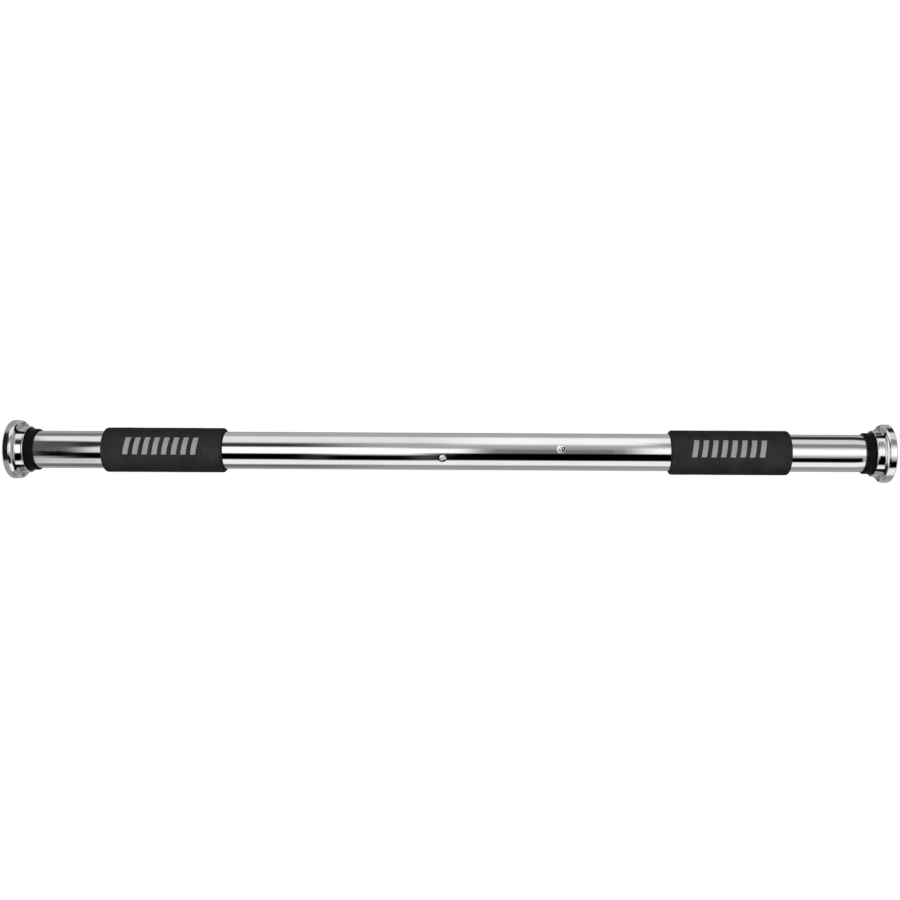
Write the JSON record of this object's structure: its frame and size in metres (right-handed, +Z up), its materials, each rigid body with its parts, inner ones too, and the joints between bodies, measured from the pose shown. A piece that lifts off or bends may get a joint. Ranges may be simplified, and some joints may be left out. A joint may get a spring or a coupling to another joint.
{
  "type": "pull up bar",
  "caption": "Telescoping chromed doorway pull up bar with foam hand grips, rubber end caps and round screw-on jamb flanges; turning the bar drives an inner screw that lengthens it.",
  "frame": {"origin": "centre of the left flange's back face, on the bar's axis", "axes": "+X along the bar from the left jamb to the right jamb, +Z up, -Y towards the user; drawn closed, at its shortest"},
  "size_m": [0.755, 0.05, 0.05],
  "materials": {
    "chrome_tube": "polished",
    "chrome_flange": "polished",
    "black_foam": "matte",
    "black_rubber": "satin",
    "black_plastic": "satin",
    "white_nylon": "satin",
    "zinc_steel": "satin"
  },
  "bodies": {
    "left_flange": {"left_flange": "chrome_flange"},
    "left_cap": {"left_end_cap": "black_rubber", "left_cap_liner": "black_plastic"},
    "outer_bar": {"outer_tube": "chrome_tube", "left_end_plug": "black_plastic", "left_grip": "black_foam", "right_grip": "black_foam", "anchor_sleeve": "zinc_steel", "threaded_rod": "zinc_steel", "rod_lock_nut": "zinc_steel", "anchor_pin": "zinc_steel", "stop_collar": "zinc_steel", "stop_pin": "zinc_steel", "mouth_bush": "black_plastic"},
    "inner_bar": {"inner_tube": "chrome_tube", "drive_nut": "zinc_steel", "nut_rivets": "zinc_steel", "guide_bush": "white_nylon", "right_end_plug": "black_plastic", "right_cap_spacer": "black_plastic", "right_end_cap": "black_rubber"},
    "right_flange": {"right_flange": "chrome_flange"}
  },
  "joints": [
    {"name": "left_flange_pull_off", "type": "slide", "parent": "left_flange", "child": "left_cap", "axis": [1, 0, 0], "range_m": [0, 0.016]},
    {"name": "bar_turn", "type": "hinge", "parent": "left_cap", "child": "outer_bar", "pos_m": [0, 0, 0], "axis": [-1, 0, 0], "range_deg": [0, 16200]},
    {"name": "extension", "type": "slide", "parent": "left_cap", "child": "inner_bar", "axis": [1, 0, 0], "range_m": [0, 0.18]},
    {"name": "right_flange_pull_off", "type": "slide", "parent": "inner_bar", "child": "right_flange", "axis": [1, 0, 0], "range_m": [0, 0.016]}
  ],
  "couplings": [
    {"joint": "extension", "follows": "bar_turn", "m_per_rad": 0.00063662}
  ]
}
